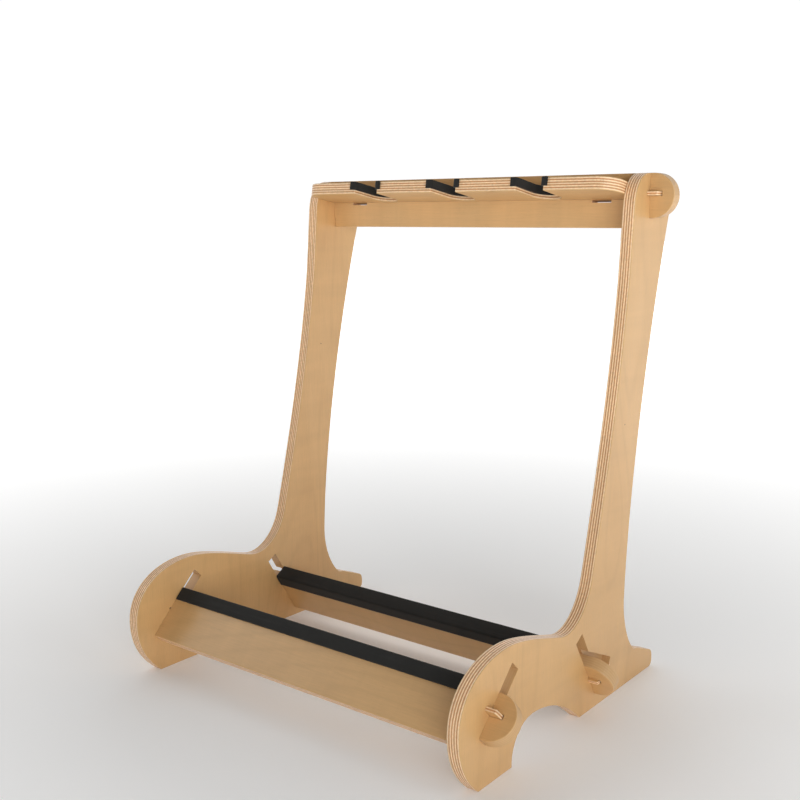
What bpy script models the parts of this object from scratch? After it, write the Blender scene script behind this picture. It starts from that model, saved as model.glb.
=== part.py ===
"""Knock-down plywood rack for three guitars.

Two side panels carry a front rail, a rear rail and a top rail. Each rail ends in a half-round ear
that passes through a slot in the panel and is locked by a thin plywood wedge. A notched board
under the top rail holds the necks, and black foam covers every edge that a guitar touches.

Metres, +Z up, +X to the right end as seen from the front, -Y to the front.
The origin is on the floor, at the middle of the rack's footprint.
"""
import math

import bmesh
import bpy

# ---- stock and clearances -------------------------------------------------------------------
PLY = 0.018                # main boards
WEDGE_PLY = 0.006          # wedges
FOAM = 0.003               # foam strips and pads
GAP = 0.0003               # between pieces that touch
EASE = 0.0010              # rounding of the cut edges
EASE_STEPS = 2

# ---- overall layout -------------------------------------------------------------------------
INNER_HALF = 0.2745        # centre line to the inner face of a side panel
TOE_Y = -0.213             # front corner of the front feet; every y below is counted from it
OUTER_HALF = INNER_HALF + PLY

# ---- side panel outline, (y from the toe, z from the floor) ---------------------------------
FRONT_FOOT_BACK = (0.073, 0.0)
ARCH_TOP = (0.120, 0.0525)
REAR_FOOT_FRONT = (0.2435, 0.0)
REAR_FOOT_BACK = (0.457, 0.0)
HEEL_Y = 0.465
HEEL_TOP = (0.458, 0.0265)
INSTEP = (0.402, 0.0460)
WAIST = (0.365, 0.130)
PANEL_TOP = 0.7225
NAPE = (0.4585, PANEL_TOP - 0.0705)
HEAD_BACK = (0.467, PANEL_TOP - 0.034)
HEAD_FLAT_BACK = 0.433
HEAD_FLAT_FRONT = 0.3975
BROW = (0.3555, PANEL_TOP - 0.0465)
CHEST = (0.3475, PANEL_TOP - 0.1445)
KNEE = (0.2675, 0.187)
DIP = (0.190, 0.1303)
HUMP_TOP = (0.061, 0.159)
NOSE = (-0.041, 0.082)

# ---- rails: board frame is (x, v up the board, w out of its front face) ---------------------
# rise is the board above its ears, tip is how far the wedge stands out in front of the ear
EAR_HEIGHT = 0.060
EAR_FLAT = 0.005           # straight part of the ear outside the panel
LOWER_RAIL_HEIGHT = 0.0785 # front and rear rails, ears included
TOP_RAIL_DROP = 0.014      # top rail below its ears
SLOT_SPARE = 0.0395        # front slot above its ear
FRONT_RAIL = {"y": -0.0005, "z": 0.0664, "lean": math.radians(45.0), "rise": 0.0045, "tip": 0.0145}
REAR_RAIL = {"y": 0.2840, "z": 0.0192, "lean": math.radians(122.2), "rise": 0.0105, "tip": 0.0035}
TOP_RAIL = {"y": 0.3995, "z": PANEL_TOP - EAR_HEIGHT, "lean": math.radians(90.0), "rise": 0.0, "tip": 0.009}
RELIEF = {"y": 0.328, "z": 0.0579, "lean": math.radians(-24.0), "length": 0.072}
RELIEF_DEPTH = 0.012       # finger room beside the rear wedge's head

# ---- wedges ---------------------------------------------------------------------------------
WEDGE_SEAT = 0.0325        # height of the wedge up the ear
WEDGE_LENGTH = PLY + 0.017
WEDGE_TIP_WIDTH = 0.0148
WEDGE_HEAD_WIDTH = 0.0172
WEDGE_CORNER = 0.0015
MORTISE_RELIEF = 0.0015    # mortise runs this far inside the panel's outer face

# ---- neck board: board frame is (x, v towards the back, w up) -------------------------------
NECK_BOARD = {"y": 0.3250, "z": PANEL_TOP - 0.0229, "lean": math.radians(-9.5)}
NECK_CORNER = 0.028
NOTCH_PITCH = 0.1467
NOTCH_RADIUS = 0.022
NOTCH_DEPTH = 0.069
NOTCH_CORNER = 0.002
TAB_CENTRE = 0.220
TAB_WIDTH = 0.030
TAB_DROP = 0.0035          # room under the tab in its slot
PAD_BOTTOM = 0.0063
PAD_TOP = PLY + 0.0008
PAD_LIP = 0.0073

# ---- foam on the rails ----------------------------------------------------------------------
STRIP_COVER = 0.0175       # how far the foam comes down each face
STRIP_END = 0.002

BIRCH = (0.66, 0.47, 0.28, 1.0)
BLACK = (0.018, 0.018, 0.019, 1.0)


def clear_scene():
    for obj in list(bpy.data.objects):
        bpy.data.objects.remove(obj, do_unlink=True)


def paint(obj, colour, roughness):
    material = bpy.data.materials.new(obj.name)
    material.use_nodes = True
    shader = material.node_tree.nodes["Principled BSDF"]
    shader.inputs["Base Color"].default_value = colour
    shader.inputs["Roughness"].default_value = roughness
    shader.inputs["Metallic"].default_value = 0.0
    obj.data.materials.append(material)


# ---- outlines -------------------------------------------------------------------------------
def curve(start, pull_start, pull_end, end, steps):
    """Points of a cubic curve after its start, its end included."""
    points = []
    for i in range(1, steps + 1):
        t = i / steps
        weights = ((1 - t) ** 3, 3 * t * (1 - t) ** 2, 3 * t * t * (1 - t), t ** 3)
        corners = (start, pull_start, pull_end, end)
        points.append(tuple(sum(w * c[k] for w, c in zip(weights, corners)) for k in (0, 1)))
    return points


def arc(centre, radius, start, end, steps):
    """Points of an arc between two angles in degrees, both ends included."""
    points = []
    for i in range(steps + 1):
        angle = math.radians(start + (end - start) * i / steps)
        points.append((centre[0] + radius * math.cos(angle), centre[1] + radius * math.sin(angle)))
    return points


def panel_outline():
    """Side view of a panel, from the toe along the floor, up the back and down the front."""
    points = [(0.0, 0.0), FRONT_FOOT_BACK]
    points += curve(FRONT_FOOT_BACK, (0.0695, 0.020), (0.085, 0.0525), ARCH_TOP, 9)
    points += curve(ARCH_TOP, (0.165, 0.0525), (0.205, 0.033), REAR_FOOT_FRONT, 14)
    points += [REAR_FOOT_BACK]
    points += curve(REAR_FOOT_BACK, (0.462, 0.0), (HEEL_Y, 0.004), (HEEL_Y, 0.010), 4)
    points += curve((HEEL_Y, 0.010), (HEEL_Y, 0.021), (0.4625, 0.0245), HEEL_TOP, 5)
    points += [(0.415, 0.0430)]
    points += curve((0.415, 0.0430), (0.410, 0.0450), (0.4055, 0.0440), INSTEP, 3)
    points += curve(INSTEP, (0.381, 0.062), (0.365, 0.098), WAIST, 10)
    points += curve(WAIST, (0.368, 0.271), (0.4048, NAPE[1] - 0.1795), NAPE, 24)
    points += curve(NAPE, (0.4625, NAPE[1] + 0.0135), (0.467, NAPE[1] + 0.0225), HEAD_BACK, 4)
    points += curve(HEAD_BACK, (0.467, HEAD_BACK[1] + 0.018), (0.452, PANEL_TOP), (HEAD_FLAT_BACK, PANEL_TOP), 8)
    points += [(HEAD_FLAT_FRONT, PANEL_TOP)]
    points += curve((HEAD_FLAT_FRONT, PANEL_TOP), (0.3745, PANEL_TOP), (0.3575, BROW[1] + 0.0305), BROW, 9)
    points += [CHEST]
    points += curve(CHEST, (0.3331, CHEST[1] - 0.120), (0.302, 0.317), KNEE, 20)
    points += curve(KNEE, (0.2565, 0.147), (0.222, 0.122), DIP, 12)
    points += curve(DIP, (0.150, 0.141), (0.098, 0.159), HUMP_TOP, 13)
    points += curve(HUMP_TOP, (0.002, 0.159), (-0.041, 0.130), NOSE, 14)
    points += curve(NOSE, (-0.041, 0.048), (-0.026, 0.022), (0.0, 0.0), 11)[:-1]
    return points


def rail_outline(rise, drop):
    """Front view of a rail with its two ears; the board goes on by rise above and drop below."""
    shoulder = INNER_HALF - GAP
    ear_centre = (OUTER_HALF + EAR_FLAT, EAR_HEIGHT / 2)
    right = [(shoulder, -drop), (shoulder, 0.0)]
    right += arc(ear_centre, EAR_HEIGHT / 2, -90, 90, 22)
    if rise:
        right += [(shoulder, EAR_HEIGHT), (shoulder, EAR_HEIGHT + rise)]
    return right + [(-x, v) for x, v in reversed(right)]


def neck_rear(y):
    """Distance along the neck board's underside to a given y."""
    return (y - NECK_BOARD["y"]) / math.cos(NECK_BOARD["lean"])


def neck_outline():
    """Neck board from above, from its back left corner round the front."""
    side = INNER_HALF - GAP
    back = neck_rear(TOP_RAIL["y"] - GAP)
    tab_end = neck_rear(TOP_RAIL["y"] + PLY)
    straight = NOTCH_DEPTH - NOTCH_RADIUS
    points = [(-side, back)]
    points += arc((-side + NECK_CORNER, NECK_CORNER), NECK_CORNER, 180, 270, 10)
    for centre in (-NOTCH_PITCH, 0.0, NOTCH_PITCH):
        wall = NOTCH_RADIUS + NOTCH_CORNER
        points += arc((centre - wall, NOTCH_CORNER), NOTCH_CORNER, 270, 360, 3)
        points += arc((centre, straight), NOTCH_RADIUS, 180, 0, 16)
        points += arc((centre + wall, NOTCH_CORNER), NOTCH_CORNER, 180, 270, 3)
    points += arc((side - NECK_CORNER, NECK_CORNER), NECK_CORNER, 270, 360, 10)
    points += [(side, back)]
    for centre in (TAB_CENTRE, -TAB_CENTRE):
        right = centre + TAB_WIDTH / 2
        left = centre - TAB_WIDTH / 2
        points += [(right, back), (right, tab_end), (left, tab_end), (left, back)]
    return points


def pad_outline():
    """One notch pad from above: a U along the notch wall with a lip on the board's front edge."""
    straight = NOTCH_DEPTH - NOTCH_RADIUS
    outer = NOTCH_RADIUS - GAP
    inner = outer - FOAM
    lip = NOTCH_RADIUS + PAD_LIP
    points = [(-inner, -GAP - FOAM)]
    points += arc((0.0, straight), inner, 180, 0, 14)
    points += [(inner, -GAP - FOAM), (lip, -GAP - FOAM), (lip, -GAP), (outer, -GAP)]
    points += arc((0.0, straight), outer, 0, 180, 14)
    points += [(-outer, -GAP), (-lip, -GAP), (-lip, -GAP - FOAM)]
    return points


def strip_section(rise):
    """Foam section round a rail's top edge, (v up the board, w out of its face)."""
    top = EAR_HEIGHT + rise
    inner = [(top - STRIP_COVER, GAP), (top + GAP, GAP), (top + GAP, -PLY - GAP), (top - STRIP_COVER, -PLY - GAP)]
    crown = top + GAP + FOAM
    outer = [(top - STRIP_COVER, -PLY - GAP - FOAM), (crown - FOAM / 2, -PLY - GAP - FOAM),
             (crown, -PLY - GAP - FOAM / 2), (crown, GAP + FOAM / 2), (crown - FOAM / 2, GAP + FOAM),
             (top - STRIP_COVER, GAP + FOAM)]
    return inner + outer


# ---- solids ---------------------------------------------------------------------------------
def solid(name, outline, low, high, across="z", ease=EASE, slope=None):
    """Extrude an outline from low to high.

    across "z" lays the outline in local XY, "x" in local YZ. Both rims are eased by ease.
    slope, (start, shift), moves the far face's points beyond v = start by shift along v.
    """
    mesh = bpy.data.meshes.new(name)
    bm = bmesh.new()
    if across == "z":
        verts = [bm.verts.new((a, b, low)) for a, b in outline]
        travel = (0.0, 0.0, high - low)
    else:
        verts = [bm.verts.new((low, a, b)) for a, b in outline]
        travel = (high - low, 0.0, 0.0)
    base = bm.faces.new(verts)
    grown = bmesh.ops.extrude_face_region(bm, geom=[base])
    far = [item for item in grown["geom"] if isinstance(item, bmesh.types.BMVert)]
    bmesh.ops.translate(bm, verts=far, vec=travel)
    if slope:
        for vert in far:
            if vert.co.y > slope[0]:
                vert.co.y += slope[1]
    bmesh.ops.recalc_face_normals(bm, faces=bm.faces)
    if ease:
        caps = [face for face in bm.faces if len(face.verts) == len(outline)]
        rims = {edge for face in caps for edge in face.edges}
        bmesh.ops.bevel(bm, geom=list(rims), offset=ease, segments=EASE_STEPS, profile=0.5,
                        affect="EDGES", clamp_overlap=True)
    bm.to_mesh(mesh)
    bm.free()
    obj = bpy.data.objects.new(name, mesh)
    bpy.context.scene.collection.objects.link(obj)
    mesh.shade_smooth()
    mesh.set_sharp_from_angle(angle=math.radians(40))
    return obj


def place(obj, frame, x=0.0, up=0.0):
    """Set an object on a board frame, moved up the board by up."""
    lean = frame["lean"]
    obj.rotation_euler = (lean, 0.0, 0.0)
    obj.location = (x, TOE_Y + frame["y"] + up * math.cos(lean), frame["z"] + up * math.sin(lean))
    return obj


def cut(obj, cutter):
    """Subtract a cutter, which stays in the file as a hidden guide."""
    cutter.hide_render = True
    cutter.display_type = "WIRE"
    modifier = obj.modifiers.new(cutter.name, "BOOLEAN")
    modifier.operation = "DIFFERENCE"
    modifier.solver = "EXACT"
    modifier.object = cutter


def block(name, low, high):
    """Plain box between two corners, used as a cutter."""
    corners = [(low[0], low[1]), (high[0], low[1]), (high[0], high[1]), (low[0], high[1])]
    return solid(name, corners, low[2], high[2], ease=0.0)


# ---- pieces ---------------------------------------------------------------------------------
def side_panel(side):
    name = "side_panel_right" if side > 0 else "side_panel_left"
    low, high = sorted((side * INNER_HALF, side * OUTER_HALF))
    panel = solid(name, panel_outline(), low, high, across="x")
    panel.location = (0.0, TOE_Y, 0.0)
    reach = (low - PLY, high + PLY)
    for label, frame in (("_front_slot", FRONT_RAIL), ("_rear_slot", REAR_RAIL)):
        top = EAR_HEIGHT + SLOT_SPARE + frame["rise"] - FRONT_RAIL["rise"]
        slot = block(name + label, (reach[0], -GAP, -PLY - GAP), (reach[1], top, GAP))
        cut(panel, place(slot, frame))
    floor, mouth = sorted((side * (OUTER_HALF - RELIEF_DEPTH), side * (OUTER_HALF + PLY)))
    relief = block(name + "_relief", (floor, -RELIEF["length"], -PLY - GAP), (mouth, 0.0, GAP))
    cut(panel, place(relief, RELIEF))
    top = block(name + "_top_slot", (reach[0], -GAP, -PLY - GAP), (reach[1], 2 * EAR_HEIGHT, GAP))
    cut(panel, place(top, TOP_RAIL))
    paint(panel, BIRCH, 0.42)


def rail(name, frame, drop):
    board = place(solid(name, rail_outline(frame["rise"], drop), -PLY, 0.0), frame)
    half = WEDGE_PLY / 2 + GAP
    inner = OUTER_HALF - MORTISE_RELIEF
    outer = OUTER_HALF + WEDGE_HEAD_WIDTH + 2 * GAP
    for side, label in ((1, "_right_mortise"), (-1, "_left_mortise")):
        low, high = sorted((side * inner, side * outer))
        mortise = block(name + label, (low, WEDGE_SEAT - half, -2 * PLY), (high, WEDGE_SEAT + half, PLY))
        cut(board, place(mortise, frame))
    paint(board, BIRCH, 0.42)
    return board


def top_rail():
    board = rail("top_rail", TOP_RAIL, TOP_RAIL_DROP)
    lean = NECK_BOARD["lean"]
    front = neck_rear(TOP_RAIL["y"])
    under = NECK_BOARD["z"] + front * math.sin(lean) - TOP_RAIL["z"]
    over = under + PLY / math.cos(lean) + GAP
    for side, label in ((1, "_right_tab_slot"), (-1, "_left_tab_slot")):
        low = side * TAB_CENTRE - TAB_WIDTH / 2 - GAP
        high = side * TAB_CENTRE + TAB_WIDTH / 2 + GAP
        slot = block("top_rail" + label, (low, under - TAB_DROP, -2 * PLY), (high, over, PLY))
        cut(board, place(slot, TOP_RAIL))


def neck_board():
    back = neck_rear(TOP_RAIL["y"] - GAP)
    slope = (back - GAP, PLY * math.tan(NECK_BOARD["lean"]))
    board = solid("neck_board", neck_outline(), 0.0, PLY, slope=slope)
    place(board, NECK_BOARD)
    paint(board, BIRCH, 0.42)


def neck_pad(name, centre):
    pad = solid(name, pad_outline(), PAD_BOTTOM, PAD_TOP, ease=0.0)
    place(pad, NECK_BOARD, x=centre)
    paint(pad, BLACK, 0.85)


def foam_strip(name, frame):
    end = INNER_HALF - STRIP_END
    strip = solid(name, strip_section(frame["rise"]), -end, end, across="x", ease=0.0)
    place(strip, frame)
    paint(strip, BLACK, 0.85)


def wedge(name, frame, side):
    """Thin tapered plate through an ear; it lies across the board, so it turns a quarter more."""
    tip = frame["tip"]
    tail = tip - WEDGE_LENGTH
    outline = [(0.0, tail + WEDGE_CORNER), (WEDGE_CORNER, tail), (WEDGE_HEAD_WIDTH - WEDGE_CORNER, tail),
               (WEDGE_HEAD_WIDTH, tail + WEDGE_CORNER), (WEDGE_HEAD_WIDTH, -PLY),
               (WEDGE_TIP_WIDTH, tip - WEDGE_CORNER), (WEDGE_TIP_WIDTH - WEDGE_CORNER, tip),
               (0.0, tip)]
    if side < 0:
        outline = [(-x, n) for x, n in reversed(outline)]
    plate = solid(name, outline, -WEDGE_PLY / 2, WEDGE_PLY / 2, ease=EASE / 2)
    place(plate, frame, x=side * (OUTER_HALF + GAP), up=WEDGE_SEAT)
    plate.rotation_euler.x += math.radians(90)
    paint(plate, BIRCH, 0.5)


def build():
    clear_scene()
    for side in (1, -1):
        side_panel(side)
    for name, frame in (("front_rail", FRONT_RAIL), ("rear_rail", REAR_RAIL)):
        rail(name, frame, LOWER_RAIL_HEIGHT - EAR_HEIGHT - frame["rise"])
    top_rail()
    neck_board()
    foam_strip("front_foam_strip", FRONT_RAIL)
    foam_strip("rear_foam_strip", REAR_RAIL)
    for label, step in (("left", -1), ("middle", 0), ("right", 1)):
        neck_pad("neck_pad_" + label, step * NOTCH_PITCH)
    for label, frame in (("front", FRONT_RAIL), ("rear", REAR_RAIL), ("top", TOP_RAIL)):
        wedge(label + "_wedge_right", frame, 1)
        wedge(label + "_wedge_left", frame, -1)


build()
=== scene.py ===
import bpy
import math
from mathutils import Euler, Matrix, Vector


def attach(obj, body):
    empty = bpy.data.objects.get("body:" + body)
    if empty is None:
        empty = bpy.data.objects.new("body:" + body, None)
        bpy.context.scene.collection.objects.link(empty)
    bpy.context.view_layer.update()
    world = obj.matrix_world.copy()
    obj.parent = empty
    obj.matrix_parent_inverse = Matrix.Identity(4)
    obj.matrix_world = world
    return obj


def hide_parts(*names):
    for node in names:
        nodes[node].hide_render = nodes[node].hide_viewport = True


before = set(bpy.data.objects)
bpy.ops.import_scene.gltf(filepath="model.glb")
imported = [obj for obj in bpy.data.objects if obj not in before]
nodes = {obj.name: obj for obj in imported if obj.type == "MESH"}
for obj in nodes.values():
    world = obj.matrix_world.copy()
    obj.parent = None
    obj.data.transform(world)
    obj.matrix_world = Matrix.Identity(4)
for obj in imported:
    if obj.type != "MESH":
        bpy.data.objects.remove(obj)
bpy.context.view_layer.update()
degrees = math.radians


def deselectAll():
    bpy.ops.object.select_all(action="DESELECT")


def addNode(tree, kind, spot, **values):
    node = tree.nodes.new(kind)
    node.location = spot
    for key, value in values.items():
        setattr(node, key, value)
    return node


def calc(tree, operation, spot, first, second=None, third=None):
    # one Math node, each input either a number or a socket to link
    node = addNode(tree, "ShaderNodeMath", spot, operation=operation)
    for index, value in enumerate((first, second, third)):
        if value is None:
            continue
        if isinstance(value, (int, float)):
            node.inputs[index].default_value = value
        else:
            tree.links.new(value, node.inputs[index])
    return node.outputs[0]


def remap(tree, spot, value, low, high, newLow, newHigh):
    node = addNode(tree, "ShaderNodeMapRange", spot)
    tree.links.new(value, node.inputs["Value"])
    for name, number in (("From Min", low), ("From Max", high), ("To Min", newLow), ("To Max", newHigh)):
        node.inputs[name].default_value = number
    return node.outputs[0]


def noise(tree, spot, vector, stretch, seed, detail=2.0, rough=0.5, warp=0.0):
    # noise with its own stretch along x, y and z of the board
    scaled = addNode(tree, "ShaderNodeMapping", (spot[0] - 200, spot[1]))
    scaled.inputs["Scale"].default_value = stretch
    field = addNode(tree, "ShaderNodeTexNoise", spot, noise_dimensions="4D")
    tree.links.new(vector, scaled.inputs["Vector"])
    tree.links.new(scaled.outputs[0], field.inputs["Vector"])
    field.inputs["W"].default_value = seed
    field.inputs["Scale"].default_value = 1.0
    field.inputs["Detail"].default_value = detail
    field.inputs["Roughness"].default_value = rough
    field.inputs["Distortion"].default_value = warp
    return field.outputs["Fac"]


def colourRamp(tree, spot, value, stops):
    node = addNode(tree, "ShaderNodeValToRGB", spot)
    ramp = node.color_ramp
    while len(ramp.elements) < len(stops):
        ramp.elements.new(0.5)
    for element, (position, colour) in zip(ramp.elements, stops):
        element.position = position
        element.color = (*colour, 1.0)
    tree.links.new(value, node.inputs["Fac"])
    return node.outputs["Color"]


def mixColours(tree, spot, blend, amount, first, second):
    node = addNode(tree, "ShaderNodeMix", spot, data_type="RGBA", blend_type=blend)
    for name, value in (("Factor", amount), ("A", first), ("B", second)):
        socket = [s for s in node.inputs if s.name == name and s.enabled][0]
        if isinstance(value, (int, float, tuple)):
            socket.default_value = value
        else:
            tree.links.new(value, socket)
    return [s for s in node.outputs if s.enabled][0]


birch = {
    "faceLight": (0.690, 0.424, 0.184),
    "faceWarm": (0.625, 0.370, 0.152),
    "faceDark": (0.455, 0.255, 0.100),
    "plyLight": (0.980, 0.735, 0.465),
    "plyMiddle": (0.860, 0.540, 0.285),
    "plyDark": (0.640, 0.310, 0.130),
    "glue": (0.500, 0.215, 0.080),
    "plain": (0.600, 0.370, 0.165),      # sanded slot walls and ear rims, where the plies hardly show
    "ringCount": 15.0,                   # growth lines over the whole range of the figure
    "ringAmount": 0.13,
    "poreAmount": 0.30,
    "knotColour": (0.115, 0.052, 0.022),
    "faceBlend": 0.00008,                # softness of the step from face veneer to edge
    "plyWander": 0.00028,                # unevenness of the plies along an edge
    "faceRoughness": 0.42,
    "edgeRoughness": 0.56,
    "varnish": 0.35,
    "varnishRoughness": 0.22,
    "specular": 0.42,
    "grainDepth": 0.00018,
    "grainStrength": 0.35,
}


def quietEdges(tree, coord, board):
    # 1 inside any of the board's slots and past its ears' roots, where the edge is left plain
    parts = []
    fadeOut = 0.002
    for index, slot in enumerate(board.get("slots", ())):
        row = -1800 - 300 * index
        inside = addNode(tree, "ShaderNodeMapping", (-2400, row), vector_type="TEXTURE")
        inside.inputs["Location"].default_value = (0.0, slot["middle"][0], slot["middle"][1])
        inside.inputs["Rotation"].default_value = (slot["lean"], 0.0, 0.0)
        inside.inputs["Scale"].default_value = (1.0, slot["long"] / 2, slot["wide"] / 2)
        tree.links.new(coord.outputs["Object"], inside.inputs["Vector"])
        size = addNode(tree, "ShaderNodeVectorMath", (-2200, row), operation="ABSOLUTE")
        tree.links.new(inside.outputs[0], size.inputs[0])
        sides = addNode(tree, "ShaderNodeSeparateXYZ", (-2000, row))
        tree.links.new(size.outputs[0], sides.inputs[0])
        reach = calc(tree, "MAXIMUM", (-1800, row), sides.outputs["Y"], sides.outputs["Z"])
        parts.append(calc(tree, "LESS_THAN", (-1600, row), reach, 1.0))
    if "earRoot" in board:
        sides = addNode(tree, "ShaderNodeSeparateXYZ", (-2000, -1800))
        tree.links.new(coord.outputs["Object"], sides.inputs[0])
        reach = calc(tree, "ABSOLUTE", (-1800, -1800), sides.outputs["X"])
        root = board["earRoot"]
        parts.append(remap(tree, (-1600, -1800), reach, root, root + fadeOut, 0.0, 1.0))
    if not parts:
        return None
    total = parts[0]
    for part in parts[1:]:
        total = calc(tree, "MAXIMUM", (-1400, -1800), total, part)
    return calc(tree, "MULTIPLY", (-1200, -1800), total, board["quiet"])


def birchPly(name, board):
    # solid plywood: the veneers lie across the board's own z, the face grain runs along its x
    material = bpy.data.materials.new(name)
    material.use_nodes = True
    tree = material.node_tree
    shader = tree.nodes["Principled BSDF"]
    thick = board["thick"]
    veneer = board["veneer"]
    seed = board["seed"]
    light, warm, dark = [(*birch[key], 1.0) for key in ("faceLight", "faceWarm", "faceDark")]

    coord = addNode(tree, "ShaderNodeTexCoord", (-2600, 0))
    laid = addNode(tree, "ShaderNodeMapping", (-2400, 0), vector_type="TEXTURE")
    laid.inputs["Location"].default_value = board["place"]
    laid.inputs["Rotation"].default_value = board["turn"]
    tree.links.new(coord.outputs["Object"], laid.inputs["Vector"])
    grain = laid.outputs[0]
    split = addNode(tree, "ShaderNodeSeparateXYZ", (-2200, -500))
    tree.links.new(grain, split.inputs[0])

    # growth figure: broad tone, nested rings, fine fibres, short pores and a few pin knots
    broad = noise(tree, (-1900, 600), grain, (2.2, 9.0, 9.0), seed, 3.0, 0.55, 0.6)
    field = noise(tree, (-1900, 300), grain, (1.5, 6.2, 6.2), seed + 3.1, 1.2, 0.42, 0.35)
    rings = calc(tree, "MULTIPLY", (-1650, 300), field, birch["ringCount"] * 6.2832)
    rings = calc(tree, "SINE", (-1500, 300), rings)
    rings = remap(tree, (-1350, 300), rings, -0.2, 1.0, 0.0, 1.0)
    rings = calc(tree, "POWER", (-1200, 300), rings, 3.0)
    fibre = noise(tree, (-1900, 0), grain, (26.0, 620.0, 620.0), seed + 5.7, 3.0, 0.62)
    pore = noise(tree, (-1900, -250), grain, (120.0, 1500.0, 1500.0), seed + 8.9, 1.0, 0.5)
    pore = remap(tree, (-1650, -250), pore, 0.64, 0.74, 0.0, 1.0)
    # painted sheen: flame bands across the grain stand in for the wood's chatoyance
    flameSheen = noise(tree, (-1900, 900), grain, (38.0, 5.0, 5.0), seed + 11.3, 2.0, 0.5, 0.8)

    tone = remap(tree, (-1500, 650), broad, 0.28, 0.72, 0.0, 1.0)
    colour = mixColours(tree, (-1300, 650), "MIX", tone, warm, light)
    ringAmount = calc(tree, "MULTIPLY", (-1050, 300), rings, birch["ringAmount"])
    colour = mixColours(tree, (-1000, 650), "MIX", ringAmount, colour, dark)
    # painted sheen bands, a few percent lighter or darker, multiplied into the colour
    paintedSheen = remap(tree, (-1050, 900), flameSheen, 0.25, 0.75, 0.96, 1.04)
    colour = mixColours(tree, (-800, 650), "MULTIPLY", 1.0, colour, paintedSheen)
    streak = remap(tree, (-1050, 50), fibre, 0.25, 0.75, 0.94, 1.05)
    colour = mixColours(tree, (-600, 650), "MULTIPLY", 1.0, colour, streak)
    poreAmount = calc(tree, "MULTIPLY", (-850, -250), pore, birch["poreAmount"])
    colour = mixColours(tree, (-400, 650), "MIX", poreAmount, colour, dark)
    for index, knot in enumerate(board.get("knots", ())):
        row = 1200 + 220 * index
        gap = addNode(tree, "ShaderNodeVectorMath", (-1200, row), operation="DISTANCE")
        gap.inputs[1].default_value = knot[:3]
        tree.links.new(coord.outputs["Object"], gap.inputs[0])
        heart = remap(tree, (-1000, row), gap.outputs["Value"], knot[3] * 0.55, knot[3], 0.85, 0.0)
        colour = mixColours(tree, (-200, row), "MIX", heart, colour, (*birch["knotColour"], 1.0))

    # plies seen on the cut edges, a little uneven along their length
    wander = noise(tree, (-1900, -800), grain, (14.0, 14.0, 3.0), seed + 2.2, 2.0, 0.5)
    wander = remap(tree, (-1650, -800), wander, 0.0, 1.0, -birch["plyWander"], birch["plyWander"])
    depth = calc(tree, "ADD", (-1450, -600), split.outputs["Z"], wander)
    depth = calc(tree, "ADD", (-1300, -600), depth, thick - veneer)
    count = calc(tree, "DIVIDE", (-1150, -600), depth, (thick - 2 * veneer) / board["plies"])
    shifted = calc(tree, "ADD", (-1000, -600), count, 0.5)
    wave = calc(tree, "PINGPONG", (-850, -600), shifted, 1.0)
    edge = colourRamp(tree, (-700, -600), wave, (
        (0.00, birch["plyDark"]), (0.30, birch["plyDark"]), (0.44, birch["glue"]),
        (0.54, birch["plyMiddle"]), (0.66, birch["plyLight"]), (1.00, birch["plyLight"])))
    pith = noise(tree, (-1900, -1150), grain, (260.0, 260.0, 520.0), seed + 7.5, 2.0, 0.6)
    pith = remap(tree, (-1650, -1150), pith, 0.3, 0.7, 0.84, 1.12)
    edge = mixColours(tree, (-400, -600), "MULTIPLY", 1.0, edge, pith)
    drift = noise(tree, (-1900, -1450), grain, (7.0, 7.0, 260.0), seed + 1.3, 2.0, 0.5)
    drift = remap(tree, (-1650, -1450), drift, 0.3, 0.7, 0.88, 1.10)
    edge = mixColours(tree, (-200, -600), "MULTIPLY", 1.0, edge, drift)
    quiet = quietEdges(tree, coord, board)
    if quiet:
        edge = mixColours(tree, (0, -600), "MIX", quiet, edge, (*birch["plain"], 1.0))

    middle = calc(tree, "ADD", (-1450, -350), split.outputs["Z"], thick / 2)
    middle = calc(tree, "ABSOLUTE", (-1300, -350), middle)
    step = thick / 2 - veneer
    blend = birch["faceBlend"]
    onFace = remap(tree, (-1100, -350), middle, step - blend, step + blend, 0.0, 1.0)
    final = mixColours(tree, (100, 300), "MIX", onFace, edge, colour)
    tree.links.new(final, shader.inputs["Base Color"])

    rough = birch["faceRoughness"]
    dull = remap(tree, (-300, 0), fibre, 0.3, 0.7, rough - 0.05, rough + 0.07)
    dull = calc(tree, "MULTIPLY", (-150, 0), dull, onFace)
    bare = calc(tree, "SUBTRACT", (-300, -180), 1.0, onFace)
    bare = calc(tree, "MULTIPLY", (-150, -180), bare, birch["edgeRoughness"])
    tree.links.new(calc(tree, "ADD", (0, -80), dull, bare), shader.inputs["Roughness"])
    shader.inputs["Coat Weight"].default_value = birch["varnish"]
    shader.inputs["Coat Roughness"].default_value = birch["varnishRoughness"]
    shader.inputs["Specular IOR Level"].default_value = birch["specular"]

    grooves = calc(tree, "SUBTRACT", (-300, -350), fibre, poreAmount)
    ripple = calc(tree, "MULTIPLY", (-300, -900), wave, 0.5)
    offFace = calc(tree, "SUBTRACT", (-300, -1050), 1.0, onFace)
    bareRipple = calc(tree, "MULTIPLY", (-150, -900), ripple, offFace)
    height = calc(tree, "ADD", (0, -400), grooves, bareRipple)
    bump = addNode(tree, "ShaderNodeBump", (150, -300))
    bump.inputs["Strength"].default_value = birch["grainStrength"]
    bump.inputs["Distance"].default_value = birch["grainDepth"]
    tree.links.new(height, bump.inputs["Height"])
    tree.links.new(bump.outputs[0], shader.inputs["Normal"])
    return material


def faceSpan(nodeName, up):
    # how far the board's front face lies from the origin, along the board's own z
    return max(vertex.co.dot(up) for vertex in nodes[nodeName].data.vertices)


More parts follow.
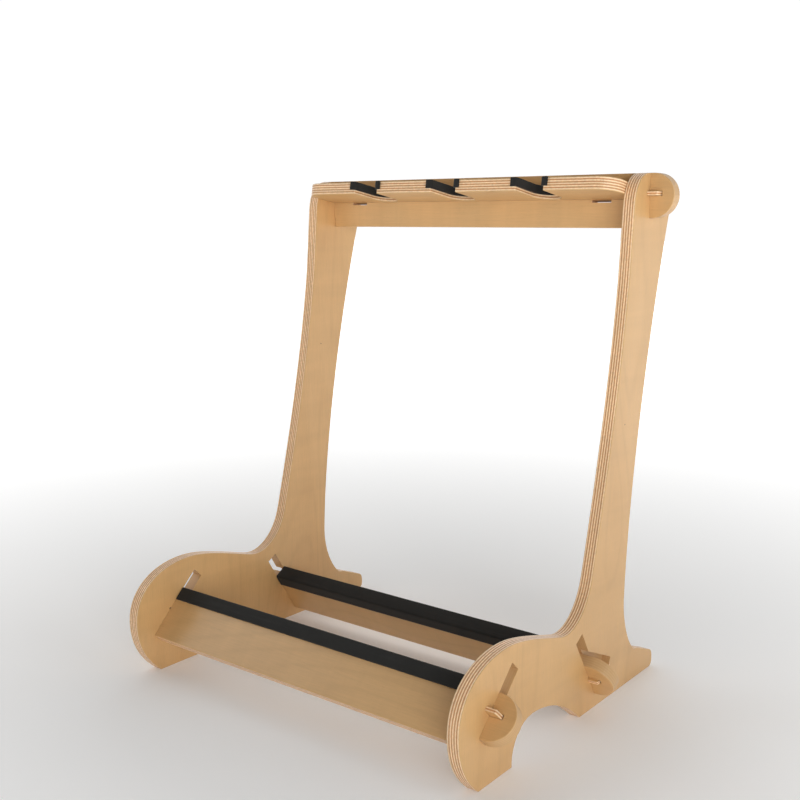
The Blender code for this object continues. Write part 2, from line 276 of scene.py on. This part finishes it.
def dressBoard(nodeName, board):
    # gives a CAD node its own plywood, with the veneers laid from its front face
    up = Euler(board["turn"]).to_matrix() @ Vector((0.0, 0.0, 1.0))
    look = dict(board, place=up * faceSpan(nodeName, up))
    material = birchPly(nodeName + "_birch_ply", look)
    for slot in nodes[nodeName].material_slots:
        slot.material = material


thickPly = {"thick": 0.018, "veneer": 0.0009, "plies": 9}
sidePanels = {
    **thickPly,
    "turn": (degrees(180), degrees(-90), 0.0),      # grain runs up the panel
    "seeds": {"side_panel_right": 2.4, "side_panel_left": 31.7},
    "quiet": 0.95,
    "slots": (                                      # (y, z) of each slot's middle
        {"middle": (-0.1650, 0.1021), "lean": degrees(45.0), "long": 0.1035, "wide": 0.0226},
        {"middle": (0.0508, 0.0688), "lean": degrees(122.2), "long": 0.1095, "wide": 0.0226},
        {"middle": (0.0784, 0.0643), "lean": degrees(-24.0), "long": 0.0760, "wide": 0.0226},
        {"middle": (0.1955, 0.7000), "lean": degrees(90.0), "long": 0.0800, "wide": 0.0226},
    ),
    "knots": {
        "side_panel_right": ((0.2925, 0.135, 0.385, 0.0014), (0.2925, -0.165, 0.052, 0.0011)),
        "side_panel_left": ((-0.2745, -0.1923, 0.0891, 0.0022), (-0.2745, 0.148, 0.455, 0.0013)),
    },
}
for name, seed in sidePanels["seeds"].items():
    dressBoard(name, dict(sidePanels, seed=seed, knots=sidePanels["knots"][name]))
print("side panels done")


boards = {
    "front_rail": {"lean": degrees(45.0), "seed": 12.9, "earRoot": 0.2925},
    "rear_rail": {"lean": degrees(122.2), "seed": 17.3, "earRoot": 0.2760},
    "top_rail": {"lean": degrees(90.0), "seed": 21.8, "earRoot": 0.2925},
    "neck_board": {"lean": degrees(-9.5), "seed": 26.4},
}
for name, board in boards.items():
    dressBoard(name, dict(thickPly, **board, turn=(board["lean"], 0.0, 0.0), quiet=0.92))
print("rails and neck board done")


wedges = {
    "thick": 0.006, "veneer": 0.0005, "plies": 3,
    "leans": {"front": 45.0, "rear": 122.2, "top": 90.0},
    "seeds": {"right": 3.6, "left": 6.2},
}
for row, lean in wedges["leans"].items():
    for side, seed in wedges["seeds"].items():
        name = row + "_wedge_" + side
        dressBoard(name, dict(wedges, seed=seed + lean, turn=(degrees(lean - 90.0), 0.0, 0.0)))
print("wedges done")


foamLook = {
    "colour": (0.0130, 0.0125, 0.0112),
    "paleColour": (0.0230, 0.0222, 0.0202),
    "scuffColour": (0.034, 0.033, 0.031),
    "roughness": 0.82,
    "specular": 0.30,
    "sheen": 0.06,
    "sheenRoughness": 0.5,
    "cellSize": 0.0009,
    "cellDepth": 0.00012,
    "cellStrength": 0.5,
}


def blackFoam():
    material = bpy.data.materials.new("black_foam")
    material.use_nodes = True
    tree = material.node_tree
    shader = tree.nodes["Principled BSDF"]
    base, pale, worn = [(*foamLook[key], 1.0) for key in ("colour", "paleColour", "scuffColour")]
    coord = addNode(tree, "ShaderNodeTexCoord", (-1400, 0)).outputs["Object"]
    cells = addNode(tree, "ShaderNodeTexVoronoi", (-1000, -200))
    cells.inputs["Scale"].default_value = 1.0 / foamLook["cellSize"]
    tree.links.new(coord, cells.inputs["Vector"])
    soft = noise(tree, (-1000, 200), coord, (40.0, 40.0, 40.0), 4.4, 4.0, 0.6)
    scuff = noise(tree, (-1000, 500), coord, (9.0, 160.0, 160.0), 9.1, 3.0, 0.6)
    scuff = remap(tree, (-750, 500), scuff, 0.55, 0.80, 0.0, 0.6)
    tone = remap(tree, (-750, 200), soft, 0.3, 0.7, 0.0, 1.0)
    colour = mixColours(tree, (-500, 200), "MIX", tone, base, pale)
    colour = mixColours(tree, (-300, 300), "MIX", scuff, colour, worn)
    tree.links.new(colour, shader.inputs["Base Color"])
    rough = foamLook["roughness"]
    rough = remap(tree, (-500, -50), soft, 0.3, 0.7, rough - 0.06, rough + 0.08)
    tree.links.new(rough, shader.inputs["Roughness"])
    shader.inputs["Specular IOR Level"].default_value = foamLook["specular"]
    shader.inputs["Sheen Weight"].default_value = foamLook["sheen"]
    shader.inputs["Sheen Roughness"].default_value = foamLook["sheenRoughness"]
    bump = addNode(tree, "ShaderNodeBump", (-300, -300))
    bump.inputs["Strength"].default_value = foamLook["cellStrength"]
    bump.inputs["Distance"].default_value = foamLook["cellDepth"]
    tree.links.new(cells.outputs["Distance"], bump.inputs["Height"])
    tree.links.new(bump.outputs[0], shader.inputs["Normal"])
    return material


foamMaterial = blackFoam()


def selectInEdit(mode, test):
    # selects the faces or edges of the mesh in edit mode that pass the test
    obj = bpy.context.object
    bpy.ops.mesh.select_mode(type=mode)
    bpy.ops.mesh.select_all(action="DESELECT")
    bpy.ops.object.mode_set(mode="OBJECT")
    mesh = obj.data
    if mode == "FACE":
        for face in mesh.polygons:
            face.select = test(face.center, face.normal)
    elif mode == "EDGE":
        for edge in mesh.edges:
            ends = [mesh.vertices[i].co for i in edge.vertices]
            edge.select = test((ends[0] + ends[1]) / 2, ends[1] - ends[0])
    bpy.ops.object.mode_set(mode="EDIT")


def applyModifier(obj, name, kind, **values):
    modifier = obj.modifiers.new(name, kind)
    for key, value in values.items():
        setattr(modifier, key, value)
    bpy.context.view_layer.objects.active = obj
    bpy.ops.object.modifier_apply(modifier=modifier.name)


def roundRim(obj, width, segments):
    applyModifier(obj, "rim", "BEVEL", width=width, segments=segments,
                  limit_method="ANGLE", angle_limit=degrees(50))


def ripple(obj, name, size, strength):
    # slow unevenness of foam pressed on by hand
    texture = bpy.data.textures.new(name, "CLOUDS")
    texture.noise_scale = size
    applyModifier(obj, name, "DISPLACE", texture=texture, texture_coords="LOCAL",
                  strength=strength, mid_level=0.5)


def layOnBoard(obj, place, lean):
    # from the board's own frame to its place in the rack
    obj.rotation_euler = (lean, 0.0, 0.0)
    obj.location = place
    deselectAll()
    obj.select_set(True)
    bpy.context.view_layer.objects.active = obj
    bpy.ops.object.transform_apply(location=True, rotation=True, scale=True)


def finishFoam(obj, nodeName):
    obj.data.shade_smooth()
    deselectAll()
    obj.select_set(True)
    bpy.context.view_layer.objects.active = obj
    bpy.ops.object.shade_smooth_by_angle(angle=degrees(35))
    obj.data.materials.clear()
    obj.data.materials.append(foamMaterial)
    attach(obj, "rack")
    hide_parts(nodeName)


foamStrips = {
    "foam": 0.003,
    "clear": 0.0003,          # air between foam and board
    "ply": 0.018,
    "half": 0.2725,
    "cover": 0.0175,
    "corner": 0.0030,
    "rimWidth": 0.0006,
    "waveSize": 0.055,
    "waveHeight": 0.00045,
    "rails": {                # top is the rail's top edge above its own zero
        "front_foam_strip": {"y": -0.2135, "z": 0.0664, "lean": degrees(45.0), "top": 0.0645},
        "rear_foam_strip": {"y": 0.0710, "z": 0.0192, "lean": degrees(122.2), "top": 0.0705},
    },
}


def foamStrip(name, rail):
    s = foamStrips
    outside = s["foam"] + s["clear"]
    high = rail["top"] + outside
    low = rail["top"] - s["cover"]
    deep = s["ply"] + 2 * outside
    deselectAll()
    bpy.ops.mesh.primitive_cube_add(size=1, location=(0.0, (high + low) / 2, -s["ply"] / 2),
                                    scale=(2 * s["half"], high - low, deep))
    strip = bpy.context.object
    strip.name = name + "_soft"
    bpy.ops.object.transform_apply(location=True, rotation=True, scale=True)
    bpy.ops.object.mode_set(mode="EDIT")
    selectInEdit("FACE", lambda middle, normal: normal.y < -0.5 or abs(normal.x) > 0.5)
    bpy.ops.mesh.delete(type="FACE")
    selectInEdit("EDGE", lambda middle, along: abs(along.x) > 0.1 and middle.y > high - 0.001)
    bpy.ops.mesh.bevel(offset=s["corner"], segments=5, affect="EDGES")
    selectInEdit("EDGE", lambda middle, along: abs(along.x) > 0.1)
    bpy.ops.mesh.subdivide(number_cuts=90)
    selectInEdit("EDGE", lambda middle, along: abs(along.y) > s["cover"] * 0.6)
    bpy.ops.mesh.subdivide(number_cuts=3)
    bpy.ops.object.mode_set(mode="OBJECT")
    ripple(strip, name + "_waves", s["waveSize"], s["waveHeight"])
    applyModifier(strip, "wall", "SOLIDIFY", thickness=s["foam"], offset=-1.0, use_even_offset=True)
    roundRim(strip, s["rimWidth"], 2)
    layOnBoard(strip, (0.0, rail["y"], rail["z"]), rail["lean"])
    finishFoam(strip, name)


for name, rail in foamStrips["rails"].items():
    foamStrip(name, rail)
print("foam strips done")


neckPads = {
    "foam": 0.003,
    "clear": 0.0003,
    "low": 0.0063,
    "high": 0.0188,
    "notchHalf": 0.022,
    "corner": 0.002,
    "straight": 0.047,        # notch wall before its round end
    "lip": 0.0293,            # middle of the notch to the end of a lip
    "rimWidth": 0.0007,
    "place": (-0.2130 + 0.3250, 0.6996),
    "lean": degrees(-9.5),
    "centres": {"neck_pad_left": -0.1467, "neck_pad_middle": 0.0, "neck_pad_right": 0.1467},
}


def neckPad(name, centre):
    s = neckPads
    bend = s["notchHalf"] + s["corner"]
    tall = s["high"] - s["low"]
    middle = (-(s["lip"] + bend) / 2, -s["clear"], (s["high"] + s["low"]) / 2)
    wall = s["straight"] - s["corner"]
    upright = (0.0, 0.0, 1.0)
    deselectAll()
    bpy.ops.mesh.primitive_plane_add(size=1, location=middle, rotation=(degrees(90), 0.0, 0.0))
    pad = bpy.context.object
    pad.name = name + "_soft"
    pad.scale = (s["lip"] - bend, tall, 1.0)
    bpy.ops.object.transform_apply(location=True, rotation=True, scale=True)
    bpy.ops.object.mode_set(mode="EDIT")
    selectInEdit("EDGE", lambda middle, along: middle.x > -bend - 0.0005)
    bpy.ops.mesh.spin(steps=5, angle=degrees(-90), center=(-bend, s["corner"], 0.0), axis=upright)
    bpy.ops.mesh.extrude_region_move(TRANSFORM_OT_translate={"value": (0.0, wall, 0.0)})
    bpy.ops.mesh.spin(steps=22, angle=degrees(180), center=(0.0, s["straight"], 0.0), axis=upright)
    bpy.ops.mesh.extrude_region_move(TRANSFORM_OT_translate={"value": (0.0, -wall, 0.0)})
    bpy.ops.mesh.spin(steps=5, angle=degrees(-90), center=(bend, s["corner"], 0.0), axis=upright)
    bpy.ops.mesh.extrude_region_move(TRANSFORM_OT_translate={"value": (s["lip"] - bend, 0.0, 0.0)})
    bpy.ops.mesh.select_all(action="SELECT")
    bpy.ops.mesh.remove_doubles(threshold=0.00005)
    selectInEdit("EDGE", lambda middle, along: abs(along.y) > 0.02)
    bpy.ops.mesh.subdivide(number_cuts=8)
    selectInEdit("EDGE", lambda middle, along: abs(along.z) > 0.005)
    bpy.ops.mesh.subdivide(number_cuts=2)
    bpy.ops.mesh.select_all(action="SELECT")
    bpy.ops.mesh.normals_make_consistent(inside=False)
    bpy.ops.object.mode_set(mode="OBJECT")
    front = min(pad.data.polygons, key=lambda face: face.center.x)
    outward = 1.0 if front.normal.y < 0 else -1.0
    applyModifier(pad, "wall", "SOLIDIFY", thickness=s["foam"], offset=outward, use_even_offset=True)
    roundRim(pad, s["rimWidth"], 3)
    bpy.ops.object.mode_set(mode="EDIT")
    bpy.ops.mesh.select_all(action="SELECT")
    bpy.ops.mesh.normals_make_consistent(inside=False)
    bpy.ops.object.mode_set(mode="OBJECT")
    layOnBoard(pad, (centre, *s["place"]), s["lean"])
    finishFoam(pad, name)


for name, centre in neckPads["centres"].items():
    neckPad(name, centre)
print("neck pads done")


studio = {
    "floorSize": 60.0,
    "floorDrop": 0.0005,
    "floorColour": (0.90, 0.90, 0.895),
    "floorNear": 0.40,        # painted glow: the floor emits light, brightening to plain white between these distances
    "floorFar": 2.40,
    "floorGlow": (0.10, 0.85),
    "floorRoughness": 0.90,
    "worldDim": 0.06,         # light from in front of the rack
    "worldBright": 1.02,      # light from behind it
    "worldBehind": (-0.62, 0.78, 0.0),
    "worldSpan": (-0.2, 0.55),
    "lights": {
        "keyLight": {"place": (2.6, -2.2, 0.80), "aim": (0.0, 0.0, 0.25), "size": 1.7, "power": 54.0},
        "sideLight": {"place": (3.0, 0.3, 1.3), "aim": (0.0, 0.0, 0.20), "size": 1.5, "power": 12.0},
        "fillLight": {"place": (-1.9, -1.15, 1.55), "aim": (-0.10, -0.20, 0.10), "size": 0.9, "power": 4.0},
    },
}

deselectAll()
bpy.ops.mesh.primitive_plane_add(size=studio["floorSize"], location=(0.0, 0.0, -studio["floorDrop"]))
floor = bpy.context.object
floor.name = "floor"
bpy.ops.object.transform_apply(location=True, rotation=True, scale=True)
floorMaterial = bpy.data.materials.new("pale_floor")
floorMaterial.use_nodes = True
floorShader = floorMaterial.node_tree.nodes["Principled BSDF"]
floorShader.inputs["Base Color"].default_value = (*studio["floorColour"], 1.0)
floorShader.inputs["Roughness"].default_value = studio["floorRoughness"]
floorTree = floorMaterial.node_tree
away = addNode(floorTree, "ShaderNodeVectorMath", (-700, -300), operation="LENGTH")
floorCoord = addNode(floorTree, "ShaderNodeTexCoord", (-900, -300))
floorTree.links.new(floorCoord.outputs["Object"], away.inputs[0])
# painted glow: emission on the floor, weak near the rack and strong far from it
floorGlowRamp = remap(floorTree, (-500, -300), away.outputs["Value"], studio["floorNear"], studio["floorFar"],
             *studio["floorGlow"])
floorShader.inputs["Emission Color"].default_value = (1.0, 1.0, 1.0, 1.0)
floorTree.links.new(floorGlowRamp, floorShader.inputs["Emission Strength"])
floor.data.materials.append(floorMaterial)

world = bpy.data.worlds.new("studio")
world.use_nodes = True
skyTree = world.node_tree
sky = addNode(skyTree, "ShaderNodeVectorMath", (-600, 0), operation="DOT_PRODUCT")
sky.inputs[1].default_value = studio["worldBehind"]
skyCoord = addNode(skyTree, "ShaderNodeTexCoord", (-800, 0))
skyTree.links.new(skyCoord.outputs["Generated"], sky.inputs[0])
glow = remap(skyTree, (-400, 0), sky.outputs["Value"], *studio["worldSpan"],
             studio["worldDim"], studio["worldBright"])
skyTree.nodes["Background"].inputs["Color"].default_value = (1.0, 1.0, 1.0, 1.0)
seen = addNode(skyTree, "ShaderNodeLightPath", (-400, 300)).outputs["Is Camera Ray"]   # plain white backdrop
glow = calc(skyTree, "MAXIMUM", (-200, 0), glow, seen)
skyTree.links.new(glow, skyTree.nodes["Background"].inputs["Strength"])
bpy.context.scene.world = world


def aimAt(obj, target):
    obj.rotation_euler = (Vector(target) - obj.location).to_track_quat("-Z", "Y").to_euler()


for name, light in studio["lights"].items():
    bpy.ops.object.light_add(type="AREA", location=light["place"])
    lamp = bpy.context.object
    lamp.name = name
    lamp.data.size = light["size"]
    lamp.data.energy = light["power"]
    aimAt(lamp, light["aim"])

view = {
    "place": (0.93866, -1.18967, 0.66038),
    "turn": (degrees(90.0 - 9.506), 0.0, degrees(37.991)),
    "lens": 48.51,
    "sensor": 36.0,
}
bpy.ops.object.camera_add(location=view["place"], rotation=view["turn"])
camera = bpy.context.object
camera.name = "camera"
camera.data.sensor_width = view["sensor"]
camera.data.lens = view["lens"]
bpy.context.scene.camera = camera
bpy.context.scene.view_settings.view_transform = "Standard"
print("studio done")
